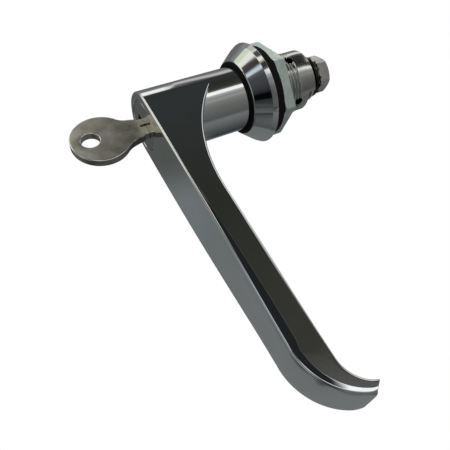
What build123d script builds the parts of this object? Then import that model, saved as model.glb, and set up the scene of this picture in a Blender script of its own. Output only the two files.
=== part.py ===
"""L-handle lock: a keyed lever that turns in a threaded panel housing.

Y is the lock axis: the key enters from -Y, the escutcheon's rear face is at Y = 0 and the cam
screw is at +Y. The lever hangs down along -Z. All sizes are in millimetres.
"""

import os
from math import cos, radians, sin, sqrt

from build123d import *

os.makedirs("parts", exist_ok=True)

# Clearances
running_gap = 0.05
turning_gap = 0.1
slot_gap = 0.12
stop_gap_deg = 0.7

# Housing: cone, rim and barrel
rim_radius = 14.8
rim_front_radius = 14.0
rim_thickness = 1.4
cone_length = 4.2
cone_nose_radius = 10.9
cone_nose_round = 0.3
seal_bore_radius = 10.2
seal_bore_depth = 3.0
thread_radius = 9.0
thread_depth = 0.55
thread_pitch = 1.0
thread_count = 12
barrel_radius = 8.8
barrel_length = 14.9
stop_height = 2.3
stop_start_deg = -74.0
stop_span_deg = 180.0
window_setback = 3.7
barrel_edge = 0.3
handle_travel_deg = 90.0

# Panel gasket, neck seal and thrust washer
gasket_radius = 13.2
gasket_thickness = 3.2
seal_length = 2.05
seal_lip = 0.25
seal_round = 0.12
thrust_washer_thickness = 0.5

# Mounting nut
nut_flats = 24.0
nut_thickness = 3.3
nut_turn_deg = 45.0
nut_chamfer = 0.25

# Lever, neck and spindle, one casting
neck_radius = 9.3
grip_reach = 34.8
lever_length = 89.4
lever_lean = 1.2
lever_thickness = 7.7
lever_waist_z = 60.0
lever_waist_half = 7.02
tip_half_width = 5.95
tip_outer_radius = 16.0
tip_outer_turn = 74.0
tip_inner_radius = 7.9
tip_inner_turn = 63.0
tip_end_thickness = 2.4
shoulder_radius = 48.3
shoulder_drop = 34.0
lever_edge = 0.6
spindle_radius = 6.5
flats_radius = 6.2
flats_across = 8.8
clamp_gap = 0.3
screw_hole_floor = 0.7

# Lock plug
plug_radius = 7.1
plug_face_setback = 0.1
plug_length = 22.4
plug_edge = 0.3
tail_radius = 4.0
tail_gap = 0.2
crank_radius = 1.0
crank_throw = 1.4
crank_length = 3.7
crank_rest_deg = 45.0
keyway_top = 3.9
keyway_bottom = -4.4
keyway_end_wall = 2.4
tongue_length = 1.5
tongue_thickness = 2.4
tongue_width = 6.0

# Wafers and their springs
wafer_count = 5
wafer_pitch = 2.6
wafer_first = 4.6
wafer_thickness = 1.0
wafer_width = 6.0
wafer_notch_width = 1.25
wafer_notch_half = 1.8
spring_radius = 0.5
spring_wire = 0.2
washer_gap = 0.2
ledge_height = 0.9
retainer_reach = 0.5
retainer_groove_depth = 0.75

# Locking pin
pin_block_radius = 2.3
pin_nose_radius = 1.3
pin_nose_setback = 0.2
pin_nose_length = 2.3
pin_block_top = 3.2
pin_edge = 0.2

# Rear stack: stop plate, spacer, washers and screw
stop_tab_radius = 8.6
keyed_washer_radius = 6.9
keyed_washer_thickness = 0.9
spacer_radius = 5.2
spacer_thickness = 1.2
plain_washer_radius = 6.2
plain_washer_thickness = 0.9
tooth_washer_radius = 6.2
tooth_washer_thickness = 1.3
tooth_count = 14
tooth_depth = 0.7
tooth_notch = 0.9
screw_radius = 3.0
screw_head_flats = 9.8
screw_head_height = 3.7
screw_turn_deg = 47.0
screw_chamfer = 0.5
screw_face_chamfer = 0.15
screw_tip_gap = 0.4

# Key
key_thickness = 2.2
key_drop = 0.85
bow_radius = 8.15
bow_centre = 12.65
bow_hole_radius = 2.5
bow_hole_shift = 2.75
bow_hole_rise = 0.25
bow_neck_round = 2.2
key_edge = 0.25
key_root_half = 4.25
key_shoulder_half = 3.45
blade_top = 1.9
blade_bottom = -4.2
shoulder_gap = 1.5
blade_tip_gap = 0.6
blade_point = 2.2
groove_width = 0.9
groove_depth = 0.5
groove_z = -0.9
cut_depths = (0.9, 1.6, 0.6, 1.9, 1.2)
cut_half_width = 0.45

# Stations along the axis, worked out from the sizes above
nose_y = -(rim_thickness + cone_length)
seal_floor_y = nose_y + seal_bore_depth
window_y = barrel_length - window_setback
window_radius = pin_nose_radius + 2 * running_gap
stop_floor_y = barrel_length
stop_top_y = barrel_length + stop_height
face_y = -grip_reach
neck_end_y = seal_floor_y - thrust_washer_thickness - turning_gap
spindle_bore_radius = spindle_radius + running_gap
nut_y = gasket_thickness
plug_face_y = face_y + plug_face_setback
plug_end_y = plug_face_y + plug_length
tongue_y = plug_end_y - tongue_length
plug_bore_radius = plug_radius + running_gap
tail_bore_radius = tail_radius + turning_gap
crank_bore_radius = crank_throw + crank_radius + 2 * turning_gap
pin_nose_z = -(spindle_radius - pin_nose_setback)
tail_end = window_y - pin_block_radius - tail_gap
screw_hole_bottom = window_y + pin_block_radius + screw_hole_floor
pin_block_z = pin_nose_z + pin_nose_length
stop_end_deg = stop_start_deg + stop_span_deg
free_span_deg = 360 - stop_span_deg
stop_plate_y = stop_floor_y + turning_gap
stop_tab_deg = free_span_deg - handle_travel_deg - 2 * stop_gap_deg
stop_plate_thickness = stop_height
keyed_washer_y = stop_plate_y + stop_plate_thickness
spacer_y = keyed_washer_y + keyed_washer_thickness
flats_length = spacer_y - clamp_gap - stop_plate_y
spindle_end_y = stop_plate_y + flats_length
plain_washer_y = spacer_y + spacer_thickness
tooth_washer_y = plain_washer_y + plain_washer_thickness
screw_head_y = tooth_washer_y + tooth_washer_thickness
slot_low_z = crank_throw * sin(radians(crank_rest_deg)) - crank_radius - slot_gap / 2
slot_high_z = slot_low_z + 2 * crank_radius + slot_gap
keyway_half = key_thickness / 2 + slot_gap
wafer_half_height = sqrt((plug_radius - slot_gap) ** 2 - (wafer_width / 2) ** 2)
retainer_y = plug_face_y + wafer_first + wafer_count * wafer_pitch
spring_x = -wafer_width / 2 + wafer_notch_width / 2
lever_low_y = face_y - lever_lean
lever_rear_y = lever_low_y + lever_thickness
key_shoulder_y = plug_face_y - shoulder_gap
bow_y = face_y - bow_centre


def across(y):
    """Plane square to the lock axis at Y = y, with its x to +X and its y to +Z."""
    return Plane.XZ.offset(-y)


def disc(y, length, radius, mode=Mode.ADD):
    """Round bar on the lock axis, from y towards the rear."""
    with BuildSketch(across(y)) as section:
        Circle(radius)
    extrude(section.sketch, amount=-length, mode=mode)


def double_flats(y, length, gap=0.0, mode=Mode.ADD):
    """Round bar with two flats, the section that keys plates to the spindle."""
    with BuildSketch(across(y)) as section:
        Circle(flats_radius + gap)
        Rectangle(2 * spindle_radius, flats_across + 2 * gap, mode=Mode.INTERSECT)
    extrude(section.sketch, amount=-length, mode=mode)


def sector(y, length, radius, start_deg, span_deg, mode=Mode.ADD):
    """Bar with the section of a pie slice about the lock axis, from y towards the rear."""
    with BuildSketch(across(y)) as section:
        with BuildLine():
            arc = CenterArc((0, 0), radius, start_deg, span_deg)
            Line(arc @ 1, (0, 0))
            Line((0, 0), arc @ 0)
        make_face()
    extrude(section.sketch, amount=-length, mode=mode)


def block(low, high, mode=Mode.ADD):
    """Straight block between two opposite corners, each given as (x, y, z)."""
    with BuildSketch(Plane.XY.offset(low[2])) as section:
        with Locations(((low[0] + high[0]) / 2, (low[1] + high[1]) / 2)):
            Rectangle(high[0] - low[0], high[1] - low[1])
    extrude(section.sketch, amount=high[2] - low[2], mode=mode)


def hexagon(y, length, flats, turn_deg):
    """Hexagonal bar on the lock axis, from y towards the rear."""
    with BuildSketch(across(y)) as section:
        RegularPolygon(flats / 2, 6, major_radius=False, rotation=turn_deg)
    extrude(section.sketch, amount=-length)


def turned_ends(y, length, flats, front_cut, rear_cut):
    """Cut a hexagon's corners back with a cone at each end, as a lathe does."""
    corner = flats / 2 / cos(radians(30))
    with BuildSketch(Plane.YZ) as section:
        with BuildLine():
            Polyline(
                (y, 0),
                (y, corner - front_cut / sin(radians(30))),
                (y + front_cut, corner),
                (y + length - rear_cut, corner),
                (y + length, corner - rear_cut / sin(radians(30))),
                (y + length, 0),
                close=True,
            )
        make_face()
    revolve(section.sketch, axis=Axis.Y, mode=Mode.INTERSECT)


# Housing: escutcheon cone and threaded barrel, with the stop sector and two locking windows
thread_root = thread_radius - thread_depth
thread_points = []
for turn in range(thread_count):
    thread_start = turn * thread_pitch
    thread_points.append((thread_start + 0.15 * thread_pitch, thread_radius))
    thread_points.append((thread_start + 0.55 * thread_pitch, thread_root))
    thread_points.append((thread_start + 0.95 * thread_pitch, thread_radius))

with BuildPart() as housing:
    with BuildSketch(Plane.YZ):
        with BuildLine():
            Polyline(
                (nose_y, 0),
                (nose_y, cone_nose_radius - cone_nose_round),
                (nose_y + cone_nose_round, cone_nose_radius),
                (-rim_thickness, rim_front_radius),
                (0, rim_radius),
                (0, thread_radius),
                *thread_points,
                (thread_count * thread_pitch, barrel_radius),
                (stop_top_y - barrel_edge, barrel_radius),
                (stop_top_y, barrel_radius - barrel_edge),
                (stop_top_y, 0),
                close=True,
            )
        make_face()
    revolve(axis=Axis.Y)
    sector(stop_floor_y, stop_height, rim_radius, stop_end_deg, free_span_deg, Mode.SUBTRACT)
    disc(nose_y, seal_bore_depth, seal_bore_radius, Mode.SUBTRACT)
    disc(nose_y, stop_top_y - nose_y, spindle_bore_radius, Mode.SUBTRACT)
    with BuildSketch(Plane.XY):
        with Locations((0, window_y)):
            Circle(window_radius)
    extrude(amount=-rim_radius, mode=Mode.SUBTRACT)
    with BuildSketch(Plane.YZ):
        with Locations((window_y, 0)):
            Circle(window_radius)
    extrude(amount=rim_radius, mode=Mode.SUBTRACT)
housing.part.label = "housing"

# Rubber gasket between the escutcheon and the panel
with BuildPart() as panel_gasket:
    disc(0, gasket_thickness, gasket_radius)
    disc(0, gasket_thickness, thread_radius, Mode.SUBTRACT)
panel_gasket.part.label = "panel_gasket"

# Thin hexagon nut that clamps the panel
with BuildPart() as mounting_nut:
    hexagon(nut_y, nut_thickness, nut_flats, nut_turn_deg)
    turned_ends(nut_y, nut_thickness, nut_flats, nut_chamfer, nut_chamfer)
    disc(nut_y, nut_thickness, thread_radius, Mode.SUBTRACT)
mounting_nut.part.label = "mounting_nut"

# Seal ring round the neck, in the nose of the cone, with a lip over the nose's face
with BuildPart() as neck_seal:
    disc(nose_y, seal_length, seal_bore_radius)
    disc(nose_y - seal_lip, seal_lip, cone_nose_radius - cone_nose_round)
    disc(nose_y - seal_lip, seal_lip + seal_length, neck_radius + running_gap, Mode.SUBTRACT)
    fillet(neck_seal.faces().sort_by(Axis.Y)[0].edges(), seal_round)
neck_seal.part.label = "neck_seal"

# Plastic washer that the neck's shoulder turns on
with BuildPart() as thrust_washer:
    disc(seal_floor_y - thrust_washer_thickness, thrust_washer_thickness, neck_radius)
    disc(seal_floor_y - thrust_washer_thickness, thrust_washer_thickness, spindle_bore_radius, Mode.SUBTRACT)
thrust_washer.part.label = "thrust_washer"

# Lever, neck and spindle in one casting, bored for the plug and cross-drilled for the locking pin
tip_start_z = tip_outer_radius * sin(radians(tip_outer_turn)) - lever_length
hollow_start_z = tip_inner_radius * sin(radians(tip_inner_turn)) - lever_length + tip_end_thickness
outside_centre = (lever_low_y + tip_outer_radius, tip_start_z)
hollow_centre = (lever_rear_y + tip_inner_radius, hollow_start_z)
shoulder_y = lever_rear_y + shoulder_radius - sqrt(shoulder_radius**2 - shoulder_drop**2)

with BuildPart() as l_handle:
    with BuildSketch(Plane.YZ):
        with BuildLine():
            Polyline((shoulder_y, 0), (shoulder_y, neck_radius), (face_y, neck_radius), (face_y, 0),
                     (lever_low_y, tip_start_z))
            outside = CenterArc(outside_centre, tip_outer_radius, 180, tip_outer_turn)
            hollow = CenterArc(hollow_centre, tip_inner_radius, 180, tip_inner_turn)
            Line(outside @ 1, hollow @ 1)
            Line((lever_rear_y, hollow_start_z), (lever_rear_y, -shoulder_drop))
            RadiusArc((lever_rear_y, -shoulder_drop), (shoulder_y, 0), shoulder_radius)
        make_face()
    extrude(amount=2 * neck_radius, both=True)
    with BuildSketch(across(0)):
        with BuildLine():
            CenterArc((0, 0), neck_radius, 0, 180)
            for side in (1, -1):
                upper = TangentArc(
                    (side * neck_radius, 0), (side * lever_waist_half, -lever_waist_z), tangent=(0, -1)
                )
                TangentArc(upper @ 1, (side * tip_half_width, -lever_length), tangent=upper % 1)
            Line((tip_half_width, -lever_length), (-tip_half_width, -lever_length))
        make_face()
    extrude(amount=2 * grip_reach, both=True, mode=Mode.INTERSECT)
    front_edges = l_handle.edges().filter_by(
        lambda edge: edge.center().Y < lever_rear_y - lever_edge
        and (abs(edge.center().X) > tip_half_width / 2 or edge.center().Z > 0)
        and edge.length > lever_thickness
    )
    fillet(front_edges, lever_edge)
    disc(shoulder_y - lever_thickness, neck_end_y - shoulder_y + lever_thickness, neck_radius)
    disc(neck_end_y, stop_plate_y - neck_end_y, spindle_radius)
    double_flats(stop_plate_y, flats_length)
    disc(lever_low_y, plug_end_y + turning_gap - lever_low_y, plug_bore_radius, Mode.SUBTRACT)
    disc(
        retainer_y - slot_gap,
        wafer_thickness + 2 * slot_gap,
        plug_radius + retainer_groove_depth,
        Mode.SUBTRACT,
    )
    disc(plug_end_y, tail_end + turning_gap - plug_end_y, tail_bore_radius, Mode.SUBTRACT)
    disc(tail_end, crank_length + 2 * turning_gap, crank_bore_radius, Mode.SUBTRACT)
    disc(screw_hole_bottom, spindle_end_y - screw_hole_bottom, screw_radius, Mode.SUBTRACT)
    with BuildSketch(Plane.XY.offset(pin_block_top + turning_gap)):
        with Locations((0, window_y)):
            Circle(pin_block_radius + running_gap)
    extrude(amount=-(pin_block_top + turning_gap + spindle_radius), mode=Mode.SUBTRACT)
l_handle.part.label = "l_handle"

# Lock plug: keyway, wafer slots, and a slot in its end for the tail shaft
with BuildPart() as lock_plug:
    disc(plug_face_y, plug_length, plug_radius)
    chamfer(lock_plug.edges().sort_by(Axis.Y)[0], plug_edge)
    block(
        (-tongue_width / 2 - running_gap, tongue_y - turning_gap, -tongue_thickness / 2 - running_gap),
        (tongue_width / 2 + running_gap, plug_end_y, tongue_thickness / 2 + running_gap),
        Mode.SUBTRACT,
    )
    block(
        (-keyway_half, plug_face_y, keyway_bottom),
        (keyway_half, plug_end_y - keyway_end_wall, keyway_top),
        Mode.SUBTRACT,
    )
    for place in range(wafer_count + 1):
        slot_y = plug_face_y + wafer_first + place * wafer_pitch - slot_gap
        slot_end = slot_y + wafer_thickness + 2 * slot_gap
        block(
            (-wafer_width / 2 - slot_gap, slot_y, -plug_radius),
            (wafer_width / 2 + slot_gap, slot_end, plug_radius),
            Mode.SUBTRACT,
        )
        block(
            (-wafer_width / 2 - slot_gap, slot_y, -wafer_notch_half),
            (spring_x + wafer_notch_width / 2 - slot_gap, slot_end, -wafer_notch_half + ledge_height),
        )
lock_plug.part.label = "lock_plug"

# Tail shaft: tongue in the plug's end, shaft, and the eccentric crank pin that works the locking pin
with BuildPart() as tail_shaft:
    disc(plug_end_y, tail_end - plug_end_y, tail_radius)
    block(
        (-tongue_width / 2, tongue_y, -tongue_thickness / 2),
        (tongue_width / 2, plug_end_y, tongue_thickness / 2),
    )
    with BuildSketch(across(tail_end)) as crank_section:
        with PolarLocations(crank_throw, 1, start_angle=crank_rest_deg):
            Circle(crank_radius)
    extrude(crank_section.sketch, amount=-crank_length)
tail_shaft.part.label = "tail_shaft"


def wafer(y, top):
    """Wafer plate with its key window and spring notch, its upper end at z = top."""
    with BuildSketch(across(y)) as section:
        Circle(plug_radius - slot_gap)
        Rectangle(wafer_width, 2 * plug_radius, mode=Mode.INTERSECT)
        with Locations((0, (keyway_top + keyway_bottom) / 2)):
            Rectangle(2 * keyway_half, keyway_top - keyway_bottom, mode=Mode.SUBTRACT)
        with Locations((spring_x, 0)):
            Rectangle(wafer_notch_width, 2 * wafer_notch_half, mode=Mode.SUBTRACT)
    extrude(section.sketch, amount=-wafer_thickness)
    if top > plug_radius:
        block((-wafer_width / 4, y, wafer_half_height), (wafer_width / 4, y + wafer_thickness, top))


# Five wafers, all level with the plug while the key is in
with BuildPart() as wafers:
    for place in range(wafer_count):
        wafer(plug_face_y + wafer_first + place * wafer_pitch, plug_radius)
wafers.part.label = "wafers"

# Retainer at the plug's rear, a wafer whose nose stays in the groove of the handle's bore
with BuildPart() as plug_retainer:
    wafer(retainer_y, plug_radius + retainer_reach)
plug_retainer.part.label = "plug_retainer"


def spring_tube(y):
    """Compressed spring as a plain tube, standing on its ledge in the notch of the wafer at y."""
    with BuildSketch(Plane.XY.offset(-wafer_notch_half + ledge_height)) as section:
        with Locations((spring_x, y + wafer_thickness / 2)):
            Circle(spring_radius)
            Circle(spring_radius - spring_wire, mode=Mode.SUBTRACT)
    extrude(section.sketch, amount=2 * wafer_notch_half - ledge_height)


# One spring under each wafer, and the retainer's own spring
with BuildPart() as wafer_springs:
    for place in range(wafer_count):
        spring_tube(plug_face_y + wafer_first + place * wafer_pitch)
wafer_springs.part.label = "wafer_springs"

with BuildPart() as retainer_spring:
    spring_tube(retainer_y)
retainer_spring.part.label = "retainer_spring"

# Locking pin: a round block that the crank lifts, with a nose that enters the housing's windows
with BuildPart() as locking_pin:
    with BuildSketch(Plane.XY.offset(pin_nose_z)) as nose_section:
        with Locations((0, window_y)):
            Circle(pin_nose_radius)
    extrude(nose_section.sketch, amount=pin_nose_length)
    chamfer(locking_pin.edges().sort_by(Axis.Z)[0], pin_edge)
    with BuildSketch(Plane.XY.offset(pin_block_z)) as block_section:
        with Locations((0, window_y)):
            Circle(pin_block_radius)
    extrude(block_section.sketch, amount=pin_block_top - pin_block_z)
    block(
        (-pin_block_radius, window_y - pin_block_radius, slot_low_z),
        (pin_block_radius, tail_end + crank_length + turning_gap, slot_high_z),
        Mode.SUBTRACT,
    )
locking_pin.part.label = "locking_pin"

# Stop plate, keyed to the spindle: its tab meets the ends of the housing's stop sector
with BuildPart() as stop_plate:
    disc(stop_plate_y, stop_plate_thickness, spindle_radius)
    sector(stop_plate_y, stop_plate_thickness, stop_tab_radius, stop_end_deg + stop_gap_deg, stop_tab_deg)
    double_flats(stop_plate_y, stop_plate_thickness, running_gap, Mode.SUBTRACT)
stop_plate.part.label = "stop_plate"

# Keyed washer behind the stop plate
with BuildPart() as keyed_washer:
    disc(keyed_washer_y, keyed_washer_thickness, keyed_washer_radius)
    double_flats(keyed_washer_y, keyed_washer_thickness, running_gap, Mode.SUBTRACT)
keyed_washer.part.label = "keyed_washer"

# Spacer sleeve, and a plain washer behind it
with BuildPart() as spacer:
    disc(spacer_y, spacer_thickness, spacer_radius)
    disc(spacer_y, spacer_thickness, screw_radius + washer_gap, Mode.SUBTRACT)
spacer.part.label = "spacer"

with BuildPart() as plain_washer:
    disc(plain_washer_y, plain_washer_thickness, plain_washer_radius)
    disc(plain_washer_y, plain_washer_thickness, screw_radius + washer_gap, Mode.SUBTRACT)
plain_washer.part.label = "plain_washer"

# Toothed lock washer under the screw's head
with BuildPart() as tooth_washer:
    with BuildSketch(across(tooth_washer_y)):
        Circle(tooth_washer_radius)
        Circle(screw_radius + washer_gap, mode=Mode.SUBTRACT)
        with PolarLocations(tooth_washer_radius, tooth_count):
            Rectangle(2 * tooth_depth, tooth_notch, mode=Mode.SUBTRACT)
    extrude(amount=-tooth_washer_thickness)
tooth_washer.part.label = "tooth_washer"

# Hexagon head screw that holds the stack
with BuildPart() as cam_screw:
    hexagon(screw_head_y, screw_head_height, screw_head_flats, screw_turn_deg)
    turned_ends(screw_head_y, screw_head_height, screw_head_flats, screw_face_chamfer, screw_chamfer)
    disc(screw_hole_bottom + screw_tip_gap, screw_head_y - screw_hole_bottom - screw_tip_gap, screw_radius)
    chamfer(cam_screw.edges().sort_by(Axis.Y)[0], screw_chamfer)
cam_screw.part.label = "cam_screw"

# Key: round bow with a ring hole, neck, shoulder and a grooved blade with its cuts
blade_tip_y = plug_end_y - keyway_end_wall - blade_tip_gap
blade_middle = (blade_top + blade_bottom) / 2

with BuildPart() as key:
    with BuildSketch(Plane.YZ.offset(-key_thickness / 2)) as key_section:
        with Locations((bow_y, -key_drop)):
            Circle(bow_radius)
        with BuildLine():
            Polyline(
                (bow_y, blade_middle + key_root_half),
                (bow_y + bow_radius, blade_middle + key_root_half),
                (key_shoulder_y, blade_middle + key_shoulder_half),
                (key_shoulder_y, blade_top),
                (blade_tip_y - blade_point, blade_top),
                (blade_tip_y, blade_middle + blade_point / 2),
                (blade_tip_y, blade_middle - blade_point / 2),
                (blade_tip_y - blade_point, blade_bottom),
                (key_shoulder_y, blade_bottom),
                (key_shoulder_y, blade_middle - key_shoulder_half),
                (bow_y + bow_radius, blade_middle - key_root_half),
                (bow_y, blade_middle - key_root_half),
                close=True,
            )
        make_face()
        root_corners = key_section.vertices().filter_by(
            lambda corner: bow_y + bow_radius / 2 < corner.X < bow_y + bow_radius - bow_neck_round / 2
        )
        fillet(root_corners, bow_neck_round)
        with Locations((bow_y - bow_hole_shift, bow_hole_rise - key_drop)):
            Circle(bow_hole_radius, mode=Mode.SUBTRACT)
        for place in range(wafer_count):
            cut_y = plug_face_y + wafer_first + place * wafer_pitch + wafer_thickness / 2
            cut_top = blade_bottom + cut_depths[place]
            with BuildLine():
                Polyline(
                    (cut_y - cut_half_width, cut_top),
                    (cut_y + cut_half_width, cut_top),
                    (cut_y + cut_half_width + cut_depths[place], blade_bottom),
                    (cut_y - cut_half_width - cut_depths[place], blade_bottom),
                    close=True,
                )
            make_face(mode=Mode.SUBTRACT)
    extrude(amount=key_thickness)
    bow_edges = key.edges().filter_by(
        lambda edge: abs(edge.center().X) > key_thickness / 2 - key_edge
        and edge.center().Y < key_shoulder_y - key_edge
        and not edge.is_closed
    )
    fillet(bow_edges, key_edge)
    for side in (1, -1):
        groove_face = side * key_thickness / 2
        groove_floor = groove_face - side * groove_depth
        block(
            (min(groove_face, groove_floor), key_shoulder_y, groove_z - groove_width / 2),
            (max(groove_face, groove_floor), blade_tip_y, groove_z + groove_width / 2),
            Mode.SUBTRACT,
        )
key.part.label = "key"

nodes = (
    housing,
    panel_gasket,
    mounting_nut,
    neck_seal,
    thrust_washer,
    l_handle,
    lock_plug,
    wafers,
    plug_retainer,
    wafer_springs,
    retainer_spring,
    tail_shaft,
    locking_pin,
    stop_plate,
    keyed_washer,
    spacer,
    plain_washer,
    tooth_washer,
    cam_screw,
    key,
)
for node in nodes:
    export_step(node.part, f"parts/{node.part.label}.step")
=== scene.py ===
"""The look of the L-handle lock: detailed pieces, materials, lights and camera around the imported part.

Sizes are in millimetres up to finish_mesh, which turns them into metres. Y is the lock axis.
"""

from math import atan2, cos, degrees, pi, radians, sin, sqrt

import bmesh
import bpy
from mathutils import Matrix, Vector


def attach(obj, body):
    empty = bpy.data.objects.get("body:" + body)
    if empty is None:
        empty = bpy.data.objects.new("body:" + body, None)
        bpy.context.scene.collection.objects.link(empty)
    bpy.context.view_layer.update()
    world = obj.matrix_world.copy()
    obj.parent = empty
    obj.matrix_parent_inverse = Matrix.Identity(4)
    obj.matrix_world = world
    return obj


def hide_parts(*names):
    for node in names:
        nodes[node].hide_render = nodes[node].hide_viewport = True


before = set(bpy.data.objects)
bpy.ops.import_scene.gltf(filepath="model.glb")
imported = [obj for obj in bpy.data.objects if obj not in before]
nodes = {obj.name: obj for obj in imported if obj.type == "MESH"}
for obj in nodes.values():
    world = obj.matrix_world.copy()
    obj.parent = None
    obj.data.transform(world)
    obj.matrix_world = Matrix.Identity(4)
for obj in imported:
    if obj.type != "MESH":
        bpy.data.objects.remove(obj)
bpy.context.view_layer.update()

MM = 0.001
WELD = 1e-4

# Lever and head
NECK_R, NECK_EDGE = 9.3, 0.1
NECK_END_Y = -3.2
FACE_Y = -34.8
LOW_Y = -36.0
REAR_Y = -28.3
SHOULDER_R = 48.3
SHOULDER_Z = -34.0
WAIST_Z, WAIST_W, TIP_W = -60.0, 7.02, 5.95
FACE_ROUND, REAR_ROUND = 0.6, 0.75
PLUG_BORE_R = 7.15
PLUG_BORE_END = -12.2
BORE_LIP = 0.12
BORE_EDGE_R = PLUG_BORE_R + BORE_LIP
BORE_MOUTH_Y = FACE_Y + 1.0

# Steep bevel behind the lever's front edges, and the crown of its face
BEVEL_START, BEVEL_SPAN = 26.0, 44.0
BEVEL_WIDE = 0.22
BEVEL_LEAST, BEVEL_DEEP = 0.3, 1.6
CROWN, CROWN_START = 0.14, 0.55

# Curled tip: its front and rear arcs, its front corner and its end face
TIP_Z = -89.4
TIP_OUT_R, TIP_OUT_TURN = 16.0, 72.7
TIP_IN_R, TIP_IN_TURN = 7.9, 69.5
TIP_END = 2.4
TIP_BEVEL_LOSS = 0.85
TIP_CORNER_BACK, TIP_CORNER_START, TIP_CORNER_POWER = 0.4, 0.88, 6
TIP_FACE_SHARE, TIP_FACE_PROUD, TIP_FACE_LEAN = 0.9, 0.1, 0.5

# Spindle
SPINDLE_R, SPINDLE_EDGE = 6.5, 0.2
FLATS_R = 6.2
FLATS_HALF = 4.4
FLATS_Y = 15.0
SPINDLE_END = 17.9
TAIL_BORE_R = 4.1
PIN_BORE_R = 2.35
PIN_BORE_TOP = 3.3
WINDOW_Y = 11.2
CUTTER_REACH = 8.0
CUTTER_PAST = 1.0

# Housing: escutcheon, barrel with its thread, stop sector and round windows
SEAL_BORE_R = 10.2
SEAL_FLOOR_Y = -2.6
NOSE_Y, NOSE_R, NOSE_CHAMFER = -5.6, 10.75, 0.25
CONE_START_Y, CONE_START_R = -5.42, 10.98
CONE_END_Y, CONE_END_R = -1.4, 14.0
RIM_Y, RIM_R, RIM_REAR_R = -0.12, 14.74, 14.66
CONE_ROUND = 0.1
HOUSING_BORE_R = 6.55
THREAD_R, THREAD_ROOT = 9.0, 8.45
THREAD_PITCH, THREAD_ROWS = 1.0, 10
THREAD_FLAT, THREAD_FLANK = 0.12, 0.62
THREAD_END = 12.0
RUNOUT_END, RUNOUT_SPAN = THREAD_END + 0.35, 0.6
BARREL_R, BARREL_END, BARREL_EDGE = 8.8, 14.9, 0.12
STOP_TOP, STOP_EDGE, STOP_BORE_EDGE = 17.2, 0.3, 0.1
STOP_START, STOP_END = -74, 106
WINDOW_ANGLES = (0, 270)
WINDOW_R, WINDOW_EDGE, WINDOW_EDGE_DEPTH = 1.4, 0.06, 0.1

# Neck ring, gasket and nut
SEAL_GAP, SEAL_EDGE = 0.06, 0.08
SEAL_END = -3.55
SEAL_LIP, LIP_R = 0.25, 10.6
FIT_GAP = 0.02
GASKET_R, GASKET_BORE_R, GASKET_EDGE = 13.2, 8.9, 0.35
GASKET_END = 3.2
NUT_END = 6.5
NUT_FLATS, NUT_CUT, NUT_LEAD = 24.0, 0.25, 0.35
NUT_TURN = 45.0
HEX_SLOPE = 0.577

# Washers and screw
KEYED_Y, KEYED_R, KEYED_EDGE = 17.3, 6.9, 0.2
SPACER_Y = 18.2
PLAIN_Y, PLAIN_R, PLAIN_EDGE = 19.4, 6.2, 0.18
TOOTH_Y, TOOTH_MID_Y = 20.3, 20.95
TOOTH_RING_R, TOOTH_RING_HALF, TOOTH_RING_EDGE = 5.2, 0.25, 0.06
TOOTH_ROOT_R, TOOTH_TIP_R = 4.6, 5.95
TOOTH_COUNT, TOOTH_SHARE, TOOTH_HALF = 14, 0.4, 0.2
TOOTH_TWIST, TOOTH_TWIST_OUT = 0.4, 0.7
HEAD_Y = 21.6
HEAD_END = 25.3
HEAD_FLATS, HEAD_FRONT_CUT, HEAD_REAR_CUT = 9.8, 0.15, 0.5
HEAD_TURN = 47.0
SCREW_R = 3.0
SHANK_R, SHANK_POINT, SHANK_LEAD = 2.9, 0.6, 0.5
SCREW_TIP = 14.6
SCREW_BORE_Y = 14.2
WASHER_BORE_R = 3.2

# Key
KEY_THICK = 2.2
BOW_Y, BOW_Z, BOW_R = -47.45, -0.85, 8.15
RING_Y, RING_Z, RING_R = -50.2, -0.6, 2.5
KEY_SHOULDER_Y = -36.2
KEY_MID = -1.15
KEY_ROOT_HALF = 4.25
KEY_SHOULDER_HALF = 3.45
BLADE_HALF = 3.05
BLADE_TIP_Y = -15.3
BLADE_POINT = 2.2
BOW_NECK_ROUND = 2.2
BOW_LEAD = 12
KEY_EDGE = 0.32
CUT_FIRST_Y = -29.6
CUT_PITCH = 2.6
CUT_DEPTHS = (0.9, 1.6, 0.6, 1.9, 1.2)
CUT_HALF = 0.45
GROOVE_LOW, GROOVE_HIGH, GROOVE_DEPTH = -1.35, -0.45, 0.5


# Mesh helpers
def finish_mesh(name, bm, body, material, sharp=35.0, replaces=(), weld=WELD, bevel=0.0):
    """Make the object: millimetres to metres, smooth shading split at sharp edges, riding on its body."""
    bmesh.ops.remove_doubles(bm, verts=bm.verts, dist=weld)
    bmesh.ops.recalc_face_normals(bm, faces=bm.faces)
    bmesh.ops.scale(bm, vec=(MM, MM, MM), verts=bm.verts)
    for face in bm.faces:
        face.smooth = True
    for edge in bm.edges:
        if len(edge.link_faces) == 2:
            edge.smooth = edge.calc_face_angle(0) < radians(sharp)
    mesh = bpy.data.meshes.new(name)
    bm.to_mesh(mesh)
    bm.free()
    obj = bpy.data.objects.new(name, mesh)
    bpy.context.scene.collection.objects.link(obj)
    mesh.materials.append(material)
    if bevel:
        modifier = obj.modifiers.new("edges", "BEVEL")
        modifier.width = bevel * MM
        modifier.segments = 2
        modifier.limit_method = "ANGLE"
        modifier.angle_limit = radians(40)
    modifier = obj.modifiers.new("weighted", "WEIGHTED_NORMAL")
    modifier.keep_sharp = True
    modifier.weight = 70
    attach(obj, body)
    if replaces:
        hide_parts(*replaces)
    return obj


def add_grid(bm, rows):
    """Quads between rows of points, each row with as many points as the next."""
    made = [[bm.verts.new(p) for p in row] for row in rows]
    for a, b in zip(made, made[1:]):
        for i in range(len(a) - 1):
            bm.faces.new([a[i], a[i + 1], b[i + 1], b[i]])


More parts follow.
